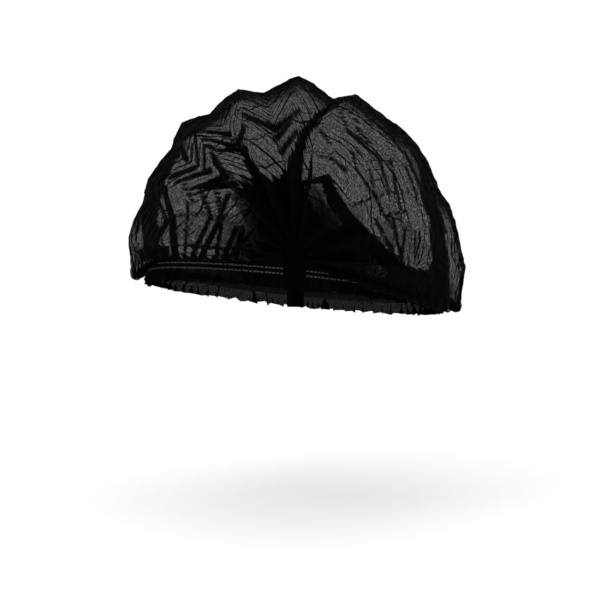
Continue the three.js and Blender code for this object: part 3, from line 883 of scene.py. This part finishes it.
def make_stitch():
    bpy.ops.object.select_all(action="DESELECT")
    body = STITCH_LENGTH * STITCH_BODY
    bpy.ops.mesh.primitive_cylinder_add(vertices=6, radius=STITCH_RADIUS, depth=body)
    stitch = bpy.context.object
    for face in stitch.data.polygons:
        face.select = abs(face.normal.z) > FACING
    bpy.ops.object.mode_set(mode="EDIT")
    bpy.ops.mesh.select_mode(type="FACE")
    bpy.ops.mesh.inset(thickness=STITCH_RADIUS * STITCH_TAPER, depth=STITCH_LENGTH * STITCH_TIP)
    bpy.ops.object.mode_set(mode="OBJECT")
    corners = np.array([vertex.co[:] for vertex in stitch.data.vertices])
    faces = [tuple(face.vertices) for face in stitch.data.polygons]
    bpy.data.objects.remove(stitch)
    return corners, faces


stitch_corners, stitch_faces = make_stitch()
print("one stitch:", len(stitch_faces), "faces")

# %% [markdown]
# Every copy is turned so that its long axis follows the row and its side faces out of the cloth.

# %% The stitch rows
STITCH_PITCH = 2.2
STITCH_ROWS = [0.07, 0.32]  # share of the way down the frill
STITCH_STAND_OFF = 0.25
PATH_POINTS = 4000


def stitch_places(side, share):
    """The middle, the direction along the row and the direction out, for each stitch of a row."""
    fine = np.linspace(HEM_FIRST_ANGLE, 180 - HEM_FIRST_ANGLE, PATH_POINTS)
    lengths = lengths_along(frill_point(fine, side, share))
    count = int(lengths[-1] // STITCH_PITCH)
    middles = np.interp((np.arange(count) + 0.5) * lengths[-1] / count, lengths, fine)
    point = frill_point(middles, side, share)
    ahead = frill_point(middles + ANGLE_STEP, side, share)
    along = unit(ahead - frill_point(middles - ANGLE_STEP, side, share))
    out = unit(np.cross(along, np.array([0.0, 0.0, 1.0]))) * side
    return point + out * STITCH_STAND_OFF, along, out


def make_stitches(name, side):
    corners, faces = [], []
    for share in STITCH_ROWS:
        for middle, along, out in zip(*stitch_places(side, share)):
            start = len(corners) * len(stitch_corners)
            axes = np.stack([out, np.cross(along, out), along])
            corners.append(middle * MM + stitch_corners @ axes)
            faces += [tuple(start + k for k in face) for face in stitch_faces]
    mesh = bpy.data.meshes.new(name)
    mesh.from_pydata(np.concatenate(corners).tolist(), [], faces)
    mesh.polygons.foreach_set("use_smooth", np.ones(len(faces), bool))
    stitches = new_object(name, mesh)
    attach(stitches, "root")
    print(name, len(corners), "stitches")
    return stitches


stitches = [make_stitches("stitches_left", -1), make_stitches("stitches_right", 1)]

# %% [markdown]
# At each end all the pleats are stacked and welded by a heated tool with a checked face. The weld
# starts as a cube of the tab's size. Its faces are subdivided, every second one is inset and
# pushed in, as the tool does, and a bevel softens the edges.

# %% The welded ends
WELD_CUTS = 9
WELD_DENT = 0.35 * MM
WELD_RIDGE = 0.12 * MM  # what is left of each square around its dent
WELD_BEVEL = 0.15 * MM


def make_weld(name):
    low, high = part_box(name)
    size = high - low
    bpy.ops.object.select_all(action="DESELECT")
    bpy.ops.mesh.primitive_cube_add(size=1, location=(low + high) / 2, scale=size)
    weld = bpy.context.object
    bpy.ops.object.transform_apply(location=True, rotation=True, scale=True)
    bpy.ops.object.mode_set(mode="EDIT")
    bpy.ops.mesh.select_all(action="SELECT")
    bpy.ops.mesh.subdivide(number_cuts=WELD_CUTS)
    bpy.ops.object.mode_set(mode="OBJECT")
    cell = Vector((size.x, 1, size.z)) / (WELD_CUTS + 1)
    for face in weld.data.polygons:
        column = math.floor((face.center.x - low.x) / cell.x)
        row = math.floor((face.center.z - low.z) / cell.z)
        face.select = abs(face.normal.y) > FACING and column % 2 == row % 2
    bpy.ops.object.mode_set(mode="EDIT")
    bpy.ops.mesh.select_mode(type="FACE")
    bpy.ops.mesh.inset(thickness=WELD_RIDGE, depth=-WELD_DENT, use_individual=True)
    bpy.ops.object.mode_set(mode="OBJECT")
    bevel = weld.modifiers.new("soft_edges", "BEVEL")
    bevel.width = WELD_BEVEL
    bevel.segments = 2
    bpy.ops.object.modifier_apply(modifier=bevel.name)
    weld.name = name.replace("welded_end", "weld")
    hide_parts(name)
    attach(weld, "root")
    return weld


welds = [make_weld("welded_end_front"), make_weld("welded_end_back")]
print("welds:", [len(weld.data.polygons) for weld in welds], "faces")

# %% [markdown]
# The looks are made of shader nodes. These helpers add a node and wire it: what they are given
# may be a plain number or another node's output.

# %% Helpers for nodes


def add(tree, kind, **values):
    node = tree.nodes.new(kind)
    for key, value in values.items():
        setattr(node, key, value)
    return node


def feed(tree, socket, value):
    if isinstance(value, bpy.types.NodeSocket):
        tree.links.new(value, socket)
    else:
        socket.default_value = value


def wire(tree, node, **inputs):
    """Feeds the named inputs. An underscore stands for a blank in their names."""
    for key, value in inputs.items():
        feed(tree, node.inputs[key.replace("_", " ")], value)
    return node


def math_node(tree, operation, first, second):
    node = add(tree, "ShaderNodeMath", operation=operation)
    feed(tree, node.inputs[0], first)
    feed(tree, node.inputs[1], second)
    return node.outputs[0]


def noise_node(tree, place, scale, detail, roughness=0.6):
    node = add(tree, "ShaderNodeTexNoise")
    wire(tree, node, Vector=place, Scale=scale, Detail=detail, Roughness=roughness)
    return node.outputs["Fac"]


print("node helpers ready")

# %% [markdown]
# The cloth is a web of melted fibres: more fibres in some places, fewer in others, with small
# bond points in a regular pattern. How much light gets through one layer is a number, and each
# further layer takes the same share again, so the light through is that number to the power of
# the layers. A shader group holds this, and puts out the cover, the tone and the relief.

# %% The nonwoven cloth as a node group
FIBRES = {"scale": 900, "detail": 3, "roughness": 0.7}
CLOUDS = {"scale": 260, "detail": 3}
FIBRES_UNEVEN = 4.4  # how much thicker or thinner the cloth is for a fibre or a gap
CLOUDS_UNEVEN = 1.4
WEB_THICKNESS = 0.93  # in layers, between the bond points
BOND_THICKNESS = 0.35  # what a bond point adds
THINNEST = 0.5
BOND_EDGE = 0.16, 0.3  # share of the pitch from full to nothing
BOND_SCATTER = 0.25
BOND_RELIEF = 0.5
TONE_SPREAD = 1.6


def make_sockets(group):
    face = group.interface
    face.new_socket("Flat Cloth", in_out="INPUT", socket_type="NodeSocketVector")
    for name in ("Layers", "Light Through", "Cloudiness", "Bond Pitch"):
        face.new_socket(name, in_out="INPUT", socket_type="NodeSocketFloat")
    for name in ("Cover", "Tone", "Relief"):
        face.new_socket(name, in_out="OUTPUT", socket_type="NodeSocketFloat")
    return add(group, "NodeGroupInput").outputs, add(group, "NodeGroupOutput").inputs


def bond_points(group, flat, pitch):
    """1 on a bond point and 0 between them."""
    cells = add(group, "ShaderNodeTexVoronoi", distance="CHEBYCHEV")
    scale = math_node(group, "DIVIDE", 1.0, pitch)
    wire(group, cells, Vector=flat, Scale=scale, Randomness=BOND_SCATTER)
    point = add(group, "ShaderNodeMapRange", interpolation_type="SMOOTHSTEP")
    wire(group, point, Value=cells.outputs["Distance"], From_Min=BOND_EDGE[0], From_Max=BOND_EDGE[1])
    wire(group, point, To_Min=1, To_Max=0)
    return point.outputs["Result"]


def make_nonwoven_group():
    group = bpy.data.node_groups.new("nonwoven", "ShaderNodeTree")
    source, target = make_sockets(group)
    fibres = noise_node(group, source["Flat Cloth"], **FIBRES)
    clouds = noise_node(group, source["Flat Cloth"], **CLOUDS)
    bond = bond_points(group, source["Flat Cloth"], source["Bond Pitch"])
    fine = math_node(group, "SUBTRACT", fibres, 0.5)
    broad = math_node(group, "SUBTRACT", clouds, 0.5)
    uneven = math_node(group, "MULTIPLY", fine, FIBRES_UNEVEN)
    uneven = math_node(group, "ADD", uneven, math_node(group, "MULTIPLY", broad, CLOUDS_UNEVEN))
    uneven = math_node(group, "MULTIPLY", uneven, source["Cloudiness"])
    thick = math_node(group, "ADD", uneven, math_node(group, "MULTIPLY", bond, BOND_THICKNESS))
    thick = math_node(group, "MAXIMUM", math_node(group, "ADD", thick, WEB_THICKNESS), THINNEST)
    layers = math_node(group, "MULTIPLY", thick, source["Layers"])
    through = math_node(group, "POWER", source["Light Through"], layers)
    group.links.new(math_node(group, "SUBTRACT", 1.0, through), target["Cover"])
    tone = math_node(group, "ADD", math_node(group, "MULTIPLY", fine, TONE_SPREAD), 0.5)
    group.links.new(tone, target["Tone"])
    relief = math_node(group, "SUBTRACT", fibres, math_node(group, "MULTIPLY", bond, BOND_RELIEF))
    group.links.new(relief, target["Relief"])
    return group


nonwoven = make_nonwoven_group()
print("group:", nonwoven.name, len(nonwoven.nodes), "nodes")

# %% [markdown]
# The cloth's material feeds the group with the flat coordinates and the layers. The fibres are
# dyed through and almost black, so nearly all of what one sees is the light that comes through.

# %% The cloth's material
CLOTH_ROUGHNESS = 0.9
CLOTH_GLOSS = 0.015
LIGHT_THROUGH = 0.232
CLOUDINESS = 0.8
BOND_PITCH = 1.9 * MM
FIBRE_RELIEF = 0.15 * MM
FIBRE_RELIEF_STRENGTH = 0.6
DARK_FIBRE = (0.0002, 0.0002, 0.0002, 1)
LIT_FIBRE = (0.0024, 0.0016, 0.0019, 1)
RAMP_FROM = 0.3
RAMP_TO = 0.7


def plain_material(name, roughness, gloss):
    material = bpy.data.materials.new(name)
    material.use_nodes = True
    tree = material.node_tree
    shader = wire(tree, tree.nodes["Principled BSDF"], Roughness=roughness, Specular_IOR_Level=gloss)
    return material, tree, shader


def ramp_node(tree, factor, dark, light):
    node = wire(tree, add(tree, "ShaderNodeValToRGB"), Fac=factor)
    ends = node.color_ramp.elements
    for end, position, color in zip(ends, (RAMP_FROM, RAMP_TO), (dark, light)):
        end.position = position
        end.color = color
    return node.outputs["Color"]


def bump_node(tree, height, distance, strength):
    node = add(tree, "ShaderNodeBump")
    wire(tree, node, Height=height, Distance=distance, Strength=strength)
    return node.outputs["Normal"]


def make_cloth_material():
    material, tree, shader = plain_material("sheer_black_nonwoven", CLOTH_ROUGHNESS, CLOTH_GLOSS)
    flat = add(tree, "ShaderNodeUVMap", uv_map="flat_cloth").outputs["UV"]
    layers = add(tree, "ShaderNodeAttribute", attribute_name="layers").outputs["Fac"]
    web = add(tree, "ShaderNodeGroup", node_tree=nonwoven)
    wire(tree, web, Flat_Cloth=flat, Layers=layers, Light_Through=LIGHT_THROUGH)
    wire(tree, web, Cloudiness=CLOUDINESS, Bond_Pitch=BOND_PITCH)
    color = ramp_node(tree, web.outputs["Tone"], DARK_FIBRE, LIT_FIBRE)
    normal = bump_node(tree, web.outputs["Relief"], FIBRE_RELIEF, FIBRE_RELIEF_STRENGTH)
    wire(tree, shader, Alpha=web.outputs["Cover"], Base_Color=color, Normal=normal)
    return material


cloth.data.materials.append(make_cloth_material())
print("through one layer:", LIGHT_THROUGH, "and through three:", round(LIGHT_THROUGH**3, 3))

# %% [markdown]
# The elastic, the thread and the welds are black too, but each a little different: the elastic is
# ribbed and matt, the thread is a polyester with a slight gloss whose lighter grey is painted light,
# for the pale dots of light along the stitch rows, and the welds are smoother than the cloth and
# let no light through.

# %% The other materials
BLACK_YARN = (0.001, 0.001, 0.0012, 1)
GREY_YARN = (0.008, 0.008, 0.009, 1)
# The thread's two greys are painted light: they stand for the pale dots of light along the stitch rows.
THREAD_PAINTED_LIGHT_DIM = (0.012, 0.012, 0.013, 1)
THREAD_PAINTED_LIGHT_BRIGHT = (0.06, 0.06, 0.065, 1)
FUSED_DARK = (0.0003, 0.0003, 0.0004, 1)
FUSED_LIGHT = (0.0004, 0.0004, 0.0004, 1)
GRAIN_DETAIL = 4
GRAIN_STRENGTH = 0.5
FINISHES = [
    # name, pieces, roughness, gloss, grain scale, dark, light, relief
    ("covered_elastic", elastics, 0.9, 0.05, 900, BLACK_YARN, GREY_YARN, 0.2 * MM),
    # thread: its grey is painted light, for the pale dots of light along the stitch rows
    ("thread", stitches, 0.6, 0.15, 2500, THREAD_PAINTED_LIGHT_DIM, THREAD_PAINTED_LIGHT_BRIGHT, 0.1 * MM),
    ("fused_cloth", welds, 0.7, 0.008, 700, FUSED_DARK, FUSED_LIGHT, 0.1 * MM),
]


def grained_material(name, roughness, gloss, scale, dark, light, relief):
    material, tree, shader = plain_material(name, roughness, gloss)
    place = add(tree, "ShaderNodeTexCoord").outputs["Object"]
    grain = noise_node(tree, place, scale, GRAIN_DETAIL)
    normal = bump_node(tree, grain, relief, GRAIN_STRENGTH)
    wire(tree, shader, Base_Color=ramp_node(tree, grain, dark, light), Normal=normal)
    return material


for name, pieces, *finish in FINISHES:
    material = grained_material(name, *finish)
    for piece in pieces:
        piece.data.materials.append(material)
print("materials:", [material.name for material in bpy.data.materials])

# %% [markdown]
# The stage is a wide pale floor under a white sky, which together make the plain white ground of
# a studio photograph. The cap hangs 10 cm above the floor. Two large soft lamps give the folds a
# little shine from above.

# %% Floor and light
FLOOR_LEVEL = -128 * MM
FLOOR_SIZE = 12.0
FLOOR_DARK = (0.95, 0.95, 0.95, 1)
FLOOR_LIGHT = (0.96, 0.96, 0.96, 1)
SKY_STRENGTH = 1.08
MOST_LAYERS_SEEN = 48  # how many see-through surfaces one ray of light may cross
LAMPS = [
    # name, place, size, power, all in metres and watts
    ("key", (-0.9, -1.1, 1.3), 0.9, 8),
    ("fill", (1.1, -0.8, 0.7), 1.0, 3),
]


def make_floor():
    bpy.ops.object.select_all(action="DESELECT")
    bpy.ops.mesh.primitive_plane_add(size=FLOOR_SIZE, location=(0, 0, FLOOR_LEVEL))
    floor = bpy.context.object
    floor.name = "floor"
    material, tree, shader = plain_material("pale_floor", roughness=0.6, gloss=0.3)
    place = add(tree, "ShaderNodeTexCoord").outputs["Object"]
    tone = noise_node(tree, place, scale=3, detail=2)
    wire(tree, shader, Base_Color=ramp_node(tree, tone, FLOOR_DARK, FLOOR_LIGHT))
    floor.data.materials.append(material)


def make_lamps():
    for name, place, size, power in LAMPS:
        data = bpy.data.lights.new(name, "AREA")
        data.size = size
        data.energy = power
        lamp = new_object(name, data)
        lamp.location = place
        lamp.rotation_euler = (-Vector(place)).to_track_quat("-Z", "Y").to_euler()


def make_sky():
    world = bpy.data.worlds.new("white_sky")
    world.use_nodes = True
    wire(world.node_tree, world.node_tree.nodes["Background"], Color=(1, 1, 1, 1), Strength=SKY_STRENGTH)
    bpy.context.scene.world = world


make_floor()
make_lamps()
make_sky()
bpy.context.scene.view_settings.view_transform = "Standard"
bpy.context.scene.cycles.transparent_max_bounces = MOST_LAYERS_SEEN
print("lamps:", [lamp[0] for lamp in LAMPS])
